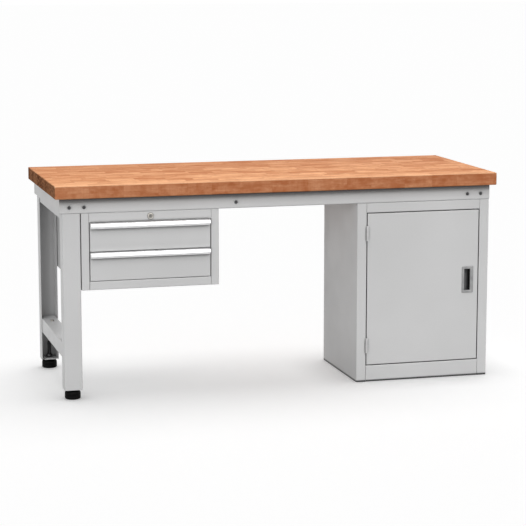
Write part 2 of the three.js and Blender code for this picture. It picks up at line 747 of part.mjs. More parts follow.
const cabFloorSection = folded([
  [cabInY1 - GAP, CABINET_BASE_RAIL],
  [frontY, CABINET_BASE_RAIL],
  [frontY, 0],
  [frontY + RAIL_RETURN, 0],
], SHEET, 1);
const cabFloorWide = box(
  cabInX0,
  cabInX1,
  cabStileY,
  cabInY1 - GAP,
  CABINET_BASE_RAIL - SHEET,
  CABINET_BASE_RAIL,
);
piece('cabinet_floor', prism('x', cabFloorSection, cabRailX0, cabRailX1).add(cabFloorWide), LOOK.paint);
const doorwayTop = apronBottom - CABINET_TOP_RAIL;
const cabTopSection = folded([
  [cabInY1 - GAP, apronBottom],
  [frontY, apronBottom],
  [frontY, doorwayTop],
  [frontY + RAIL_RETURN, doorwayTop],
], SHEET, 1);
const cabTopWide = box(cabInX0, cabInX1, cabStileY, cabInY1 - GAP, apronBottom - SHEET, apronBottom);
const cabTop = prism('x', cabTopSection, cabX0 + CABINET_STILE + GAP, cabX1 - CABINET_STILE - GAP);
piece('cabinet_top', cabTop.add(cabTopWide), LOOK.paint);

// Shelf on two side rails
const shelfY0 = frontY + SHELF_SETBACK;
const shelfY1 = cabInY1 - RAIL_RETURN;
const shelfSection = folded([
  [shelfY0, SHELF_HEIGHT - SHELF_FOLD],
  [shelfY0, SHELF_HEIGHT],
  [shelfY1, SHELF_HEIGHT],
  [shelfY1, SHELF_HEIGHT - SHELF_FOLD],
], SHEET, -1);
piece('shelf', prism('x', shelfSection, cabInX0, cabInX1), LOOK.paint);
const shelfUnder = SHELF_HEIGHT - SHEET;
const shelfRail = folded([
  [cabX0 + SHEET, shelfUnder - SHELF_FOLD],
  [cabX0 + SHEET, shelfUnder],
  [cabX0 + SHEET + SHELF_RAIL, shelfUnder],
], SHEET, -1);
const shelfRailY0 = shelfY0 + 2 * RAIL_RETURN;
const shelfRailY1 = shelfY1 - 2 * RAIL_RETURN;
piece('shelf_rail_left', prism('y', shelfRail, shelfRailY0, shelfRailY1), LOOK.zinc);
piece('shelf_rail_right', prism('y', mirrored(shelfRail, cabX), shelfRailY0, shelfRailY1), LOOK.zinc);

// Door pan with folded edges and an opening for the pull
const doorX0 = cabX0 + CABINET_STILE + DOOR_GAP;
const doorX1 = cabX1 - CABINET_STILE - DOOR_GAP;
const doorZ0 = CABINET_BASE_RAIL + DOOR_GAP;
const doorZ1 = doorwayTop - DOOR_GAP;
const doorY1 = frontY + DOOR_DEPTH;
const doorX = (doorX0 + doorX1) / 2;
const pullX1 = doorX1 - PULL_EDGE_INSET;
const pullX0 = pullX1 - PULL_WIDTH;
const pullZ = (doorZ0 + doorZ1) / 2 + PULL_ABOVE_CENTRE;
const windowX = (pullX0 + pullX1) / 2 - PULL_WINDOW_SHIFT;
const windowX0 = windowX - PULL_WINDOW_WIDTH / 2;
const windowX1 = windowX + PULL_WINDOW_WIDTH / 2;
const windowZ0 = pullZ - PULL_WINDOW_HEIGHT / 2;
const windowZ1 = pullZ + PULL_WINDOW_HEIGHT / 2;
const doorHollow = pressedBlock(
  doorX0 + SHEET,
  doorX1 - SHEET,
  doorZ0 + SHEET,
  doorZ1 - SHEET,
  frontY + SHEET,
  doorY1 - SHEET,
  BEND_RADIUS,
);
const doorMouth = box(
  doorX0 + DOOR_LIP,
  doorX1 - DOOR_LIP,
  doorY1 - SHEET - CUT,
  doorY1 + CUT,
  doorZ0 + DOOR_LIP,
  doorZ1 - DOOR_LIP,
);
const pullOpening = box(
  windowX0,
  windowX1,
  frontY - PULL_FRAME - CUT,
  frontY + SHEET + CUP_LIP + CUT,
  windowZ0,
  windowZ1,
);
const doorPan = pressedBlock(doorX0, doorX1, doorZ0, doorZ1, frontY, doorY1, BEND_RADIUS + SHEET)
  .subtract(doorHollow)
  .subtract(doorMouth)
  .subtract(pullOpening);
piece('door_pan', doorPan, LOOK.paint);
const stiffenerY = frontY + SHEET + STIFFENER_DEPTH;
const stiffenerSection = folded([
  [doorX - STIFFENER_WIDTH / 2, frontY + SHEET],
  [doorX - STIFFENER_WIDTH / 2, stiffenerY],
  [doorX + STIFFENER_WIDTH / 2, stiffenerY],
  [doorX + STIFFENER_WIDTH / 2, frontY + SHEET],
], SHEET, -1);
const stiffenerZ0 = doorZ0 + SHEET + DOOR_GAP;
const stiffenerZ1 = doorZ1 - SHEET - DOOR_GAP;
piece('door_stiffener', prism('z', stiffenerSection, stiffenerZ0, stiffenerZ1), LOOK.paint);

// Hinges: the axis stands just in front of the door, the leaves lie in the gap beside it
const hingeX = cabX0 + CABINET_STILE + DOOR_GAP / 2;
const knuckleRadius = KNUCKLE_DIAMETER / 2;
const hingeY = frontY - knuckleRadius - GAP;
const pinRadius = PIN_DIAMETER / 2;
const leafY0 = frontY + SHEET;
const leafY1 = frontY + SHEET + LEAF_WIDTH;
[['upper', doorZ1 - HINGE_INSET], ['lower', doorZ0 + HINGE_INSET]].forEach(([place, centre]) => {
  const z0 = centre - HINGE_HEIGHT / 2;
  const z1 = centre + HINGE_HEIGHT / 2;
  const third = HINGE_HEIGHT / 3;
  const stileX = hingeX - DOOR_GAP / 2;
  const edgeX = hingeX + DOOR_GAP / 2;
  const fixedNeck = (from, to) => box(stileX, stileX + LEAF_SHEET, hingeY, leafY0 + CUT, from, to);
  const fixedHinge = round('z', hingeX, hingeY, knuckleRadius, knuckleRadius, z0, z0 + third)
    .add(round('z', hingeX, hingeY, knuckleRadius, knuckleRadius, z1 - third, z1))
    .add(round('z', hingeX, hingeY, pinRadius, pinRadius, z0 + CUT, z1 - CUT))
    .add(fixedNeck(z0, z0 + third))
    .add(fixedNeck(z1 - third, z1))
    .add(box(stileX, stileX + LEAF_SHEET, leafY0, leafY1, z0, z1));
  piece(`hinge_${place}_fixed`, fixedHinge, LOOK.frame);
  const bore = pinRadius + GAP;
  const low = z0 + third + GAP;
  const high = z1 - third - GAP;
  const movingHinge = round('z', hingeX, hingeY, knuckleRadius, knuckleRadius, low, high)
    .add(box(edgeX - LEAF_SHEET, edgeX, hingeY, leafY0 + CUT, low, high))
    .subtract(round('z', hingeX, hingeY, bore, bore, z0, z1))
    .add(box(edgeX - LEAF_SHEET, edgeX, leafY0, leafY1, z0, z1));
  piece(`hinge_${place}_moving`, movingHinge, LOOK.frame);
});

// Recessed pull: a frame on the door face, and behind it a lipped cup that slopes in from the left
const pullFrame = pressedBlock(
  pullX0,
  pullX1,
  pullZ - PULL_HEIGHT / 2,
  pullZ + PULL_HEIGHT / 2,
  frontY - PULL_FRAME,
  frontY,
  PULL_FRAME_EDGE,
).subtract(pullOpening);
piece('pull_frame', pullFrame, LOOK.frame);
function cupOutline(front, wall) {
  const deep = frontY + CUP_DEPTH + wall;
  const points = [];
  for (let step = 0; step <= CUP_STEPS; step += 1) {
    const angle = (Math.PI / 2) * (step / CUP_STEPS);
    const slope = CUP_SLOPE * (1 - Math.cos(angle));
    points.push([windowX0 - wall + slope, front + (deep - front) * Math.sin(angle)]);
  }
  points.push([windowX1 + CUP_UNDERCUT + wall, deep]);
  points.push([windowX1 + CUP_UNDERCUT + wall, front]);
  return points;
}
const cupFront = frontY + SHEET;
const cupShell = prism('z', cupOutline(cupFront, CUP_WALL), windowZ0 - CUP_WALL, windowZ1 + CUP_WALL);
const cupHollow = prism('z', cupOutline(cupFront + CUP_LIP, 0), windowZ0, windowZ1);
piece('pull_cup', cupShell.subtract(cupHollow).subtract(pullOpening), LOOK.blackPlastic);

// Magnetic catch hanging from the cabinet top behind the door edge
const magnetX1 = doorX1 - MAGNET_INSET;
const magnetX0 = magnetX1 - MAGNET_WIDTH;
const magnetY0 = doorY1 + MAGNET_GAP;
const magnetY1 = magnetY0 + MAGNET_DEPTH;
const magnetZ0 = doorZ1 - DOOR_LIP;
const magnetZ1 = magnetZ0 + MAGNET_HEIGHT;
const catchTop = apronBottom - SHEET;
const catchSection = folded([
  [magnetY1, magnetZ0],
  [magnetY1, catchTop],
  [magnetY1 + REAR_FOLD, catchTop],
], RAIL_SHEET, -1);
piece('catch_bracket', prism('x', catchSection, magnetX0, magnetX1), LOOK.zinc);
piece('catch_magnet', box(magnetX0, magnetX1, magnetY0, magnetY1, magnetZ0, magnetZ1), LOOK.magnet);

export default bench;
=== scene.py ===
import json
import math

import bmesh
import bpy
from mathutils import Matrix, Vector


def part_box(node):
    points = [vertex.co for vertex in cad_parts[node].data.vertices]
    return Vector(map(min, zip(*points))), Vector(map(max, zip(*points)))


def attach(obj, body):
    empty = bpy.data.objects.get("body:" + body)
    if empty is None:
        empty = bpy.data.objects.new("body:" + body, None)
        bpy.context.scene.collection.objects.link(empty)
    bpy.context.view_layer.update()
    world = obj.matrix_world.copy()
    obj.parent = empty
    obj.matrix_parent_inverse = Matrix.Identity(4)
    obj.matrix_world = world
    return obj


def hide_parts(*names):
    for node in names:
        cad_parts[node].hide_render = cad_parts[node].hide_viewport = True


# Looks of a workbench with two drawers and a cabinet, in metres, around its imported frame.

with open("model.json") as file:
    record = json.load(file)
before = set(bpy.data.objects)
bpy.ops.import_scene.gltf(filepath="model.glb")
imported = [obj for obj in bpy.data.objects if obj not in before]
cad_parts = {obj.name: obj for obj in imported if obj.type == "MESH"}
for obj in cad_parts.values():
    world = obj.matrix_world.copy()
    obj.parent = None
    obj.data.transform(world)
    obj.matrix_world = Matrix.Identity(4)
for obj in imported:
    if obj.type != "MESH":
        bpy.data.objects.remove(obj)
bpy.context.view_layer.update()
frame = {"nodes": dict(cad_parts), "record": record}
nodes = frame["nodes"]

# Camera: place, turn to the right, tilt up, focal length in image widths
CAMERA_PLACE = (-1.9865, -7.3125, 1.6989)
CAMERA_TURN = 0.2672
CAMERA_TILT = -0.163
CAMERA_FOCAL = 3.532
SENSOR = 36.0

# Light: even surroundings, then lamps by the way toward them, strength and width; and the floor
SKY = 0.24
LAMPS = {
    "front": ((0.33, -0.7, 0.63), 1.42, 16.0),
    "left": ((-0.24, -0.3, 0.92), 0.95, 40.0),
    "above": ((0.16, 0.25, 0.95), 1.1, 50.0),
    "low_left": ((-0.7, -0.68, 0.2), 1.02, 30.0),
    "back": ((0.55, 0.8, 0.24), 0.9, 40.0),
}
FLOOR_TONE = 0.82
FLOOR_LIFT = 0.515
# Reach and least share of the lift for the floor's painted contact shadow
FLOOR_CONTACT = (0.2, 0.55)
FLOOR_LAMPS = ("above",)
FLOOR_REACH = 60.0

# Bench top: staves across its depth, blocks along them
STAVE_WIDTH = 0.05
BLOCK_LENGTH = 0.13

# Bolts of the front apron
BOLT_HEAD = 0.0098
BOLT_HEAD_HEIGHT = 0.0036
BOLT_WASHER = 0.0122
BOLT_WASHER_SHEET = 0.0012
BOLT_SHANK = 0.006
BOLT_SOCKET = 0.004
BOLT_PLACES = (0.038, 0.095)
BOLT_DROP = 0.036
BRACE_MIDDLE = -0.183

# Hexagon bolts of the lower leg rail
RAIL_BOLT_FLATS = 0.013
RAIL_BOLT_HEIGHT = 0.0053
RAIL_BOLT_WASHER = 0.017
RAIL_BOLT_WASHER_SHEET = 0.0016
RAIL_BOLT_SHANK = 0.008
RAIL_BOLT_REACH = 0.016
RAIL_BOLT_PLACE = 0.199

# Levelling feet
THREAD_PITCH = 0.002
THREAD_DEPTH = 0.0011
PAD_HEEL = 0.006
PAD_SHOULDER = 0.009
PAD_GROOVE = 0.013

# Lock
LOCK_FACE = -0.323
LOCK_ROSE = 0.012
LOCK_BARREL = 0.0097
LOCK_BORE = 0.0075
PLUG = 0.0072
KEY_SLOT = (0.0009, 0.0042, 0.006)
TONGUE_HALF = 0.007
TONGUE_SHEET = 0.0025

# Hinges and pull
KNUCKLE = 0.005
PIN = 0.0025
HINGE_GAP = 0.0003
LEAF_SHEET = 0.0012
LEAF_FRONT = -0.3215
PULL_WINDOW = (0.013, 0.044)
PULL_WINDOW_SHIFT = -0.002
PULL_CORNER = 0.0022
PULL_WINDOW_CORNER = 0.0018
CUP_SLOPE = (0.78, 0.8)

# Smoothness of round pieces
SIDES = 48
CORNER_STEPS = 5


def linear(red, green, blue):
    """Scene colour from a written 8-bit colour."""
    parts = []
    for value in (red, green, blue):
        share = value / 255
        parts.append(share / 12.92 if share <= 0.04045 else ((share + 0.055) / 1.055) ** 2.4)
    return (*parts, 1.0)


class Graph:
    """One material's nodes, with a short call for each kind of node it needs."""

    def __init__(self, name, **constants):
        self.material = bpy.data.materials.new(name)
        self.material.use_nodes = True
        self.tree = self.material.node_tree
        self.shader = self.tree.nodes["Principled BSDF"]
        for socket, value in constants.items():
            self.shader.inputs[socket.replace("_", " ")].default_value = value
        self.place = self.add("TexCoord").outputs["Object"]
        self.normal = self.add("NewGeometry").outputs["Normal"]

    def add(self, kind, links=(), **settings):
        node = self.tree.nodes.new("ShaderNode" + kind)
        for name, value in settings.items():
            setattr(node, name, value)
        for socket, value in dict(links).items():
            self.join(node.inputs[socket], value)
        return node

    def join(self, socket, value):
        if isinstance(value, bpy.types.NodeSocket):
            self.tree.links.new(value, socket)
        else:
            socket.default_value = value

    def math(self, operation, first, second=0.0, third=0.0):
        return self.add("Math", {0: first, 1: second, 2: third}, operation=operation).outputs[0]

    def split(self, vector):
        return self.add("SeparateXYZ", {0: vector}).outputs

    def noise(self, scale, detail=3.0, roughness=0.5, place=None):
        scales = scale if isinstance(scale, tuple) else (scale, scale, scale)
        links = {0: self.place if place is None else place, 1: scales}
        stretched = self.add("VectorMath", links, operation="MULTIPLY").outputs[0]
        links = {"Vector": stretched, "Scale": 1.0, "Detail": detail, "Roughness": roughness}
        return self.add("TexNoise", links).outputs["Fac"]

    def ramp(self, value, low, high, start=0.0, end=1.0):
        return self.add("MapRange", {"Value": value, 1: low, 2: high, 3: start, 4: end}).outputs[0]

    def mix(self, share, first, second):
        return self.add("Mix", {0: share, 6: first, 7: second}, data_type="RGBA").outputs[2]

    def edge(self, radius):
        """Normal that rounds the edges off, and a mask that is 1 on them."""
        soft = self.add("Bevel", {"Radius": radius}, samples=6).outputs["Normal"]
        links = {0: soft, 1: self.normal}
        same = self.add("VectorMath", links, operation="DOT_PRODUCT").outputs["Value"]
        return soft, self.ramp(same, 0.995, 0.8)

    def bump(self, height, strength, distance, normal):
        links = {"Height": height, "Strength": strength, "Distance": distance, "Normal": normal}
        return self.add("Bump", links).outputs["Normal"]

    def finish(self, colour, roughness, normal):
        self.join(self.shader.inputs["Base Color"], colour)
        self.join(self.shader.inputs["Roughness"], roughness)
        self.join(self.shader.inputs["Normal"], normal)
        return self.material


def paint_material(name, reach, unshaded_ao, shaded_ao, most_shade, front_only=False, unshaded_height=None):
    """Light grey powder coat: faint peel, folds lightened partly as wear and partly as painted highlight,
    painted shade in recesses found by ambient occlusion, and a painted contact shadow along the floor.

    The painted shade in recesses is left off about a given height.
    """
    graph = Graph(name, Specular_IOR_Level=0.5)
    cloud = graph.noise(2.6, 2.0)
    speck = graph.noise(340.0, 2.0)
    tone = graph.mix(graph.ramp(cloud, 0.3, 0.7), linear(194, 194, 194), linear(201, 201, 201))
    tone = graph.mix(graph.ramp(speck, 0.35, 0.7, 0.0, 0.22), tone, linear(189, 189, 190))
    soft, edge = graph.edge(0.0012)
    # Folds are lightened, partly as wear and partly as a painted highlight.
    worn_and_lit_edge = graph.math("MULTIPLY", edge, graph.ramp(graph.noise(60.0), 0.35, 0.75, 0.1, 0.5))
    tone = graph.mix(worn_and_lit_edge, tone, linear(216, 216, 215))
    # Ambient occlusion darkens recesses, gaps and the band under overhangs: painted shade.
    recess = graph.add("AmbientOcclusion", {"Distance": reach}, samples=8).outputs["AO"]
    painted_shade = graph.ramp(recess, unshaded_ao, shaded_ao, 0.0, most_shade)
    if front_only:
        upright = graph.math("ABSOLUTE", graph.split(graph.normal)["Y"])
        painted_shade = graph.math("MULTIPLY", painted_shade, graph.ramp(upright, 0.8, 0.95))
    height = graph.split(graph.place)["Z"]
    if unshaded_height:
        away = graph.math("ABSOLUTE", graph.math("SUBTRACT", height, unshaded_height))
        painted_shade = graph.math("MULTIPLY", painted_shade, graph.ramp(away, 0.012, 0.022))
    tone = graph.mix(painted_shade, tone, linear(42, 42, 43))
    # A near-black band on the lowest 10 mm: a painted contact shadow along the floor.
    tone = graph.mix(graph.ramp(height, 0.0095, 0.0055, 0.0, 0.92), tone, linear(26, 26, 27))
    peel = graph.bump(graph.noise(720.0, 1.5), 0.14, 0.0003, soft)
    rough = graph.ramp(graph.noise(14.0), 0.3, 0.7, 0.34, 0.44)
    return graph.finish(tone, rough, peel)


def wood_material():
    """Jointed beech staves: tone by block, growth rings, streaks and pores, dark edges and ends; front and
    back faces darkened partly as painted shade, a top painted lighter at the front and darker at the back,
    and a painted highlight along the front top edge.
    """
    graph = Graph("oiled_beech", Specular_IOR_Level=0.0, Coat_Weight=0.03, Coat_Roughness=0.4)
    place = graph.split(graph.place)
    across = graph.math("MULTIPLY_ADD", place["Y"], 1 / STAVE_WIDTH, 20.02)
    row = graph.math("FLOOR", across)
    along = graph.math("MULTIPLY_ADD", place["X"], 1 / BLOCK_LENGTH, graph.math("MULTIPLY", row, 37.7))
    block = {"W": along, "Scale": 1.0, "Randomness": 1.0}
    colour = graph.add("TexVoronoi", block, voronoi_dimensions="1D", feature="F1").outputs["Color"]
    joint = graph.add("TexVoronoi", block, voronoi_dimensions="1D", feature="DISTANCE_TO_EDGE")
    chance = graph.add("SeparateColor", {0: colour}).outputs

    # Each block's grain is read at a place of its own.
    shift = graph.add("CombineXYZ", {0: graph.math("MULTIPLY", chance[2], 40.0), 1: row, 2: chance[1]})
    moved = graph.add("VectorMath", {0: graph.place, 1: shift.outputs[0]}, operation="ADD").outputs[0]
    sway = graph.noise((2.2, 9.0, 9.0), 3.0, 0.55, moved)
    streak = graph.noise((8.0, 70.0, 70.0), 4.0, 0.66, moved)
    fibre = graph.noise((10.0, 320.0, 320.0), 4.0, 0.6, moved)
    figure = graph.noise((26.0, 60.0, 42.0), 3.0, 0.6, moved)
    pore = graph.noise((70.0, 1500.0, 1500.0), 2.0, 0.5, moved)

    # Growth rings are tubes along the block, about a heart that differs from block to block.
    middle = graph.math("MULTIPLY_ADD", graph.math("FRACT", across), STAVE_WIDTH, -STAVE_WIDTH / 2)
    heart_y = graph.math("MULTIPLY_ADD", chance[1], 0.12, -0.06)
    heart_z = graph.math("MULTIPLY_ADD", chance[2], 0.1, 0.68)
    from_heart = graph.add("CombineXYZ", {
        0: graph.math("SUBTRACT", middle, heart_y),
        1: graph.math("SUBTRACT", place["Z"], heart_z),
        2: 0.0,
    }).outputs[0]
    radius = graph.add("VectorMath", {0: from_heart}, operation="LENGTH").outputs["Value"]
    ring = graph.math("SINE", graph.math("MULTIPLY", graph.math("MULTIPLY_ADD", sway, 0.03, radius), 1150.0))

    tone = graph.mix(chance[0], linear(190, 124, 85), linear(228, 169, 126))
    tone = graph.mix(graph.ramp(chance[1], 0.75, 1.0, 0.0, 0.35), tone, linear(176, 110, 72))
    tone = graph.mix(graph.ramp(streak, 0.5, 0.3, 0.0, 0.85), tone, linear(154, 86, 50))
    tone = graph.mix(graph.ramp(streak, 0.52, 0.7, 0.0, 0.85), tone, linear(250, 200, 156))
    tone = graph.mix(graph.ramp(figure, 0.5, 0.75, 0.0, 0.45), tone, linear(158, 94, 60))
    tone = graph.mix(graph.ramp(ring, 0.0, 1.0, 0.0, 0.2), tone, linear(160, 98, 62))
    tone = graph.mix(graph.ramp(fibre, 0.4, 0.75, 0.0, 0.4), tone, linear(234, 178, 134))
    tone = graph.mix(graph.ramp(pore, 0.56, 0.72, 0.0, 0.3), tone, linear(122, 72, 46))
    seam = graph.ramp(joint.outputs["Distance"], 0.0, 0.008, 0.4, 0.0)
    beside = graph.math("ABSOLUTE", graph.math("SUBTRACT", graph.math("FRACT", across), 0.5))
    seam = graph.math("MAXIMUM", seam, graph.ramp(beside, 0.484, 0.5, 0.0, 0.35))
    tone = graph.mix(seam, tone, linear(104, 60, 38))
    facing = graph.split(graph.normal)
    side = graph.ramp(graph.math("ABSOLUTE", facing["Y"]), 0.6, 0.9)
    blotch = graph.noise((30.0, 30.0, 38.0), 3.0, 0.55)
    side_tone = graph.mix(graph.ramp(blotch, 0.38, 0.62), linear(178, 110, 72), linear(226, 167, 125))
    upright = graph.noise((170.0, 20.0, 14.0), 2.0)
    side_tone = graph.mix(graph.ramp(upright, 0.4, 0.7, 0.0, 0.3), side_tone, linear(170, 104, 68))
    tone = graph.mix(graph.math("MULTIPLY", side, 0.5), tone, side_tone)
    # Front and back faces are darkened, partly for their edge grain and partly as painted shade.
    tone = graph.mix(graph.math("MULTIPLY", side, 0.45), tone, linear(140, 66, 30))
    # The top is painted lighter toward its front edge and darker toward its back: painted light and painted
    # shade.
    painted_front_light = graph.math("MULTIPLY", facing["Z"], graph.ramp(place["Y"], -0.25, -0.345, 0.0, 0.32))
    tone = graph.mix(painted_front_light, tone, linear(252, 200, 156))
    painted_rear_shade = graph.math("MULTIPLY", facing["Z"], graph.ramp(place["Y"], -0.12, 0.34, 0.0, 0.36))
    tone = graph.mix(painted_rear_shade, tone, linear(156, 98, 70))
    end_tone = graph.mix(graph.ramp(chance[0], 0.25, 0.75), linear(80, 42, 24), linear(150, 104, 74))
    end_tone = graph.mix(graph.ramp(streak, 0.35, 0.65, 0.0, 0.5), end_tone, linear(104, 62, 38))
    end_tone = graph.mix(graph.ramp(ring, 0.0, 1.0, 0.0, 0.3), end_tone, linear(64, 38, 24))
    mottle = graph.noise((30.0, 95.0, 95.0), 3.0, 0.55)
    end_tone = graph.mix(graph.ramp(mottle, 0.48, 0.58, 0.0, 0.85), end_tone, linear(48, 22, 12))
    end_tone = graph.mix(graph.ramp(mottle, 0.47, 0.38, 0.0, 0.85), end_tone, linear(170, 114, 76))
    tone = graph.mix(graph.ramp(graph.math("ABSOLUTE", facing["X"]), 0.6, 0.9, 0.0, 0.85), tone, end_tone)
    soft, edge = graph.edge(0.0045)
    tone = graph.mix(graph.math("MULTIPLY", edge, 0.45), tone, linear(118, 68, 42))
    # A painted highlight along the front top edge.
    wear_and_painted_light = graph.math("MULTIPLY", edge, graph.ramp(place["Y"], -0.33, -0.344, 0.0, 0.9))
    wear_and_painted_light = graph.math("MULTIPLY", wear_and_painted_light, graph.ramp(place["Z"], 0.83, 0.836))
    tone = graph.mix(wear_and_painted_light, tone, linear(255, 214, 172))
    grain = graph.bump(graph.math("MULTIPLY_ADD", seam, -0.6, fibre), 0.22, 0.0005, soft)
    return graph.finish(tone, graph.ramp(fibre, 0.3, 0.75, 0.46, 0.62), grain)


def metal_material(name, dark, light, rough, lines, wear=0.3, metallic=1.0):
    """Metal with drawn lines, a blotchy tone and rubbed edges."""
    graph = Graph(name, Metallic=metallic)
    drawn = graph.noise(lines, 3.0)
    blotch = graph.noise(45.0, 3.0)
    tone = graph.mix(graph.ramp(blotch, 0.3, 0.7), dark, light)
    tone = graph.mix(graph.ramp(drawn, 0.4, 0.75, 0.0, 0.3), tone, light)
    soft, edge = graph.edge(0.0006)
    wear_and_painted_light = tuple(min(1.0, part * 1.3 + 0.02) for part in light[:3]) + (1.0,)
    tone = graph.mix(graph.math("MULTIPLY", edge, wear), tone, wear_and_painted_light)
    grain = graph.bump(drawn, 0.12, 0.0002, soft)
    return graph.finish(tone, graph.ramp(blotch, 0.3, 0.7, rough, rough + 0.12), grain)


def plastic_material(name, dark, light, rough):
    """Moulded plastic with a fine eroded skin and scuffed edges."""
    graph = Graph(name, Specular_IOR_Level=0.07)
    skin = graph.noise(900.0, 2.0)
    scuff = graph.noise((40.0, 40.0, 160.0), 4.0)
    tone = graph.mix(graph.ramp(scuff, 0.45, 0.75), dark, light)
    soft, edge = graph.edge(0.0008)
    tone = graph.mix(graph.math("MULTIPLY", edge, 0.3), tone, linear(58, 58, 59))
    grain = graph.bump(skin, 0.2, 0.0003, soft)
    return graph.finish(tone, graph.ramp(scuff, 0.3, 0.7, rough, rough + 0.15), grain)


def cup_material():
    """Black moulding whose curved finger slope is painted grey toward its open edge: painted light where the
    slope catches the lamps.
    """
    graph = Graph("moulding_with_painted_light", Specular_IOR_Level=0.2)
    skin = graph.noise(900.0, 2.0)
    scuff = graph.noise((90.0, 90.0, 60.0), 4.0)
    tone = graph.mix(graph.ramp(scuff, 0.45, 0.75), linear(14, 14, 14), linear(26, 26, 26))
    # The finger slope is painted grey by its place across the cup, as painted light.
    painted_lit_slope = graph.ramp(graph.split(graph.place)["X"], *CUP_SLOPE, 1.0, 0.0)
    wear_and_painted_light = graph.math("MULTIPLY", painted_lit_slope, graph.ramp(scuff, 0.25, 0.6, 0.75, 1.0))
    tone = graph.mix(wear_and_painted_light, tone, linear(124, 124, 125))
    soft, edge = graph.edge(0.0008)
    tone = graph.mix(graph.math("MULTIPLY", edge, 0.3), tone, linear(58, 58, 59))
    grain = graph.bump(skin, 0.2, 0.0003, soft)
    return graph.finish(tone, graph.ramp(scuff, 0.3, 0.7, 0.5, 0.65), grain)


ALONG_X = (3.0, 900.0, 900.0)
ALONG_Z = (700.0, 700.0, 20.0)
THREAD_LINES = (300.0, 300.0, 900.0)
materials = {
    "paint": paint_material("powder_coat", 0.02, 0.8, 0.3, 0.9),
    "wood": wood_material(),
    "grip": metal_material("anodised_strip", linear(212, 212, 213), linear(230, 230, 230), 0.4, ALONG_X),
    "zinc": metal_material("zinc_plate", linear(164, 166, 169), linear(196, 198, 200), 0.34, 9.0),
    "nickel": metal_material("satin_nickel", linear(172, 168, 160), linear(204, 201, 195), 0.24, 700.0),
    "black_steel": metal_material(
        "blackened_steel", linear(30, 30, 31), linear(58, 58, 60), 0.36, THREAD_LINES, 0.6, 0.6
    ),
    "black_plastic": plastic_material("black_moulding", linear(6, 6, 6), linear(13, 13, 13), 0.55),
    "hinge_steel": metal_material(
        "hinge_steel", linear(184, 184, 185), linear(202, 202, 202), 0.42, ALONG_Z, 0.3, 0.1
    ),
    "pull_frame": metal_material(
        "pull_plate", linear(132, 132, 133), linear(160, 160, 160), 0.42, ALONG_Z, 0.4, 0.3
    ),
    "magnet": plastic_material("magnet_block", linear(38, 38, 40), linear(54, 54, 56), 0.5),
}
# Paint variants lay different amounts of painted shade into recesses: faint on the legs, the drawer unit and
# the cabinet top; on front faces only for the aprons, the drawer fronts and the unit's top rail.
faint_shade_paint = paint_material("powder_coat_faint_shade", 0.02, 0.8, 0.3, 0.3)
shaded_paint = paint_material("powder_coat_under", 0.048, 0.93, 0.7, 0.93, True)
drawer_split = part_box("drawer_upper_front")[0].z
drawer_paint = paint_material("powder_coat_drawer", 0.042, 0.92, 0.63, 0.9, True, drawer_split)
rail_paint = paint_material("powder_coat_rail", 0.014, 0.92, 0.62, 0.9, True)
bolt_steel = metal_material("bolt_steel", linear(52, 52, 53), linear(88, 88, 90), 0.4, 700.0, 0.5, 0.5)
dull_nickel = metal_material("dull_nickel", linear(118, 116, 112), linear(152, 150, 145), 0.3, 700.0, 0.5)
finishes = {"pull_cup": cup_material(), "cabinet_top": faint_shade_paint}
for node_name in nodes:
    if node_name.startswith(("leg_", "unit_")):
        finishes[node_name] = faint_shade_paint
finishes["unit_top_rail"] = rail_paint
for side in ("front", "rear", "left", "right"):
    finishes[f"apron_{side}"] = shaded_paint
for drawer in ("upper", "lower"):
    finishes[f"drawer_{drawer}_front"] = drawer_paint
slots = {entry["node"]: entry["material_slot"] for entry in frame["record"]["subparts"]}
for node_name, node in nodes.items():
    node.data.materials.clear()
    node.data.materials.append(finishes.get(node_name, materials[slots[node_name]]))


def add_piece(name, build, slot, body, replaced=(), crease=math.radians(40), finish=None):
    """Object from a built mesh, smooth except at its creases, on its body, with its given finish, else its
    slot's material.
    """
    bmesh.ops.recalc_face_normals(build, faces=build.faces)
    for edge in build.edges:
        edge.smooth = edge.calc_face_angle(0.0) < crease
    for face in build.faces:
        face.smooth = True
    mesh = bpy.data.meshes.new(name)
    build.to_mesh(mesh)
    build.free()
    mesh.materials.append(finish or materials[slot])
    piece = bpy.data.objects.new(name, mesh)
    bpy.context.scene.collection.objects.link(piece)
    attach(piece, body)
    if replaced:
        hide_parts(*replaced)


def loft(build, loops, wrap=False):
    """Closed skin through loops of equal length, capped at both ends or wrapped into a ring."""
    rows = [[build.verts.new(point) for point in loop] for loop in loops]
    count = len(loops[0])
    last = len(rows) if wrap else len(rows) - 1
    for index in range(last):
        here, there = rows[index], rows[(index + 1) % len(rows)]
        for side in range(count):
            after = (side + 1) % count
            build.faces.new((here[side], here[after], there[after], there[side]))
    if not wrap:
        build.faces.new(list(reversed(rows[0])))
        build.faces.new(rows[-1])


AXES = {
    "z": (Vector((0, 0, 1)), Vector((1, 0, 0)), Vector((0, 1, 0))),
    "-y": (Vector((0, -1, 0)), Vector((1, 0, 0)), Vector((0, 0, 1))),
}


def ring(middle, axis, radius, height, flats=None, sides=SIDES):
    """Loop round an axis, cut to a hexagon where its flats are nearer than the radius."""
    along, right, up = AXES[axis]
    loop = []
    for side in range(sides):
        angle = 2 * math.pi * side / sides
        reach = radius
        if flats:
            off = (angle + math.pi / 6) % (math.pi / 3) - math.pi / 6
            reach = min(radius, flats / math.cos(off))
        outward = right * math.cos(angle) + up * math.sin(angle)
        loop.append(middle + along * height + outward * reach)
    return loop


def turned(build, middle, axis, profile, wrap=False, sides=SIDES):
    """Turned form from (radius, height) or (radius, height, distance to the flats)."""
    loft(build, [ring(Vector(middle), axis, *step, sides=sides) for step in profile], wrap)


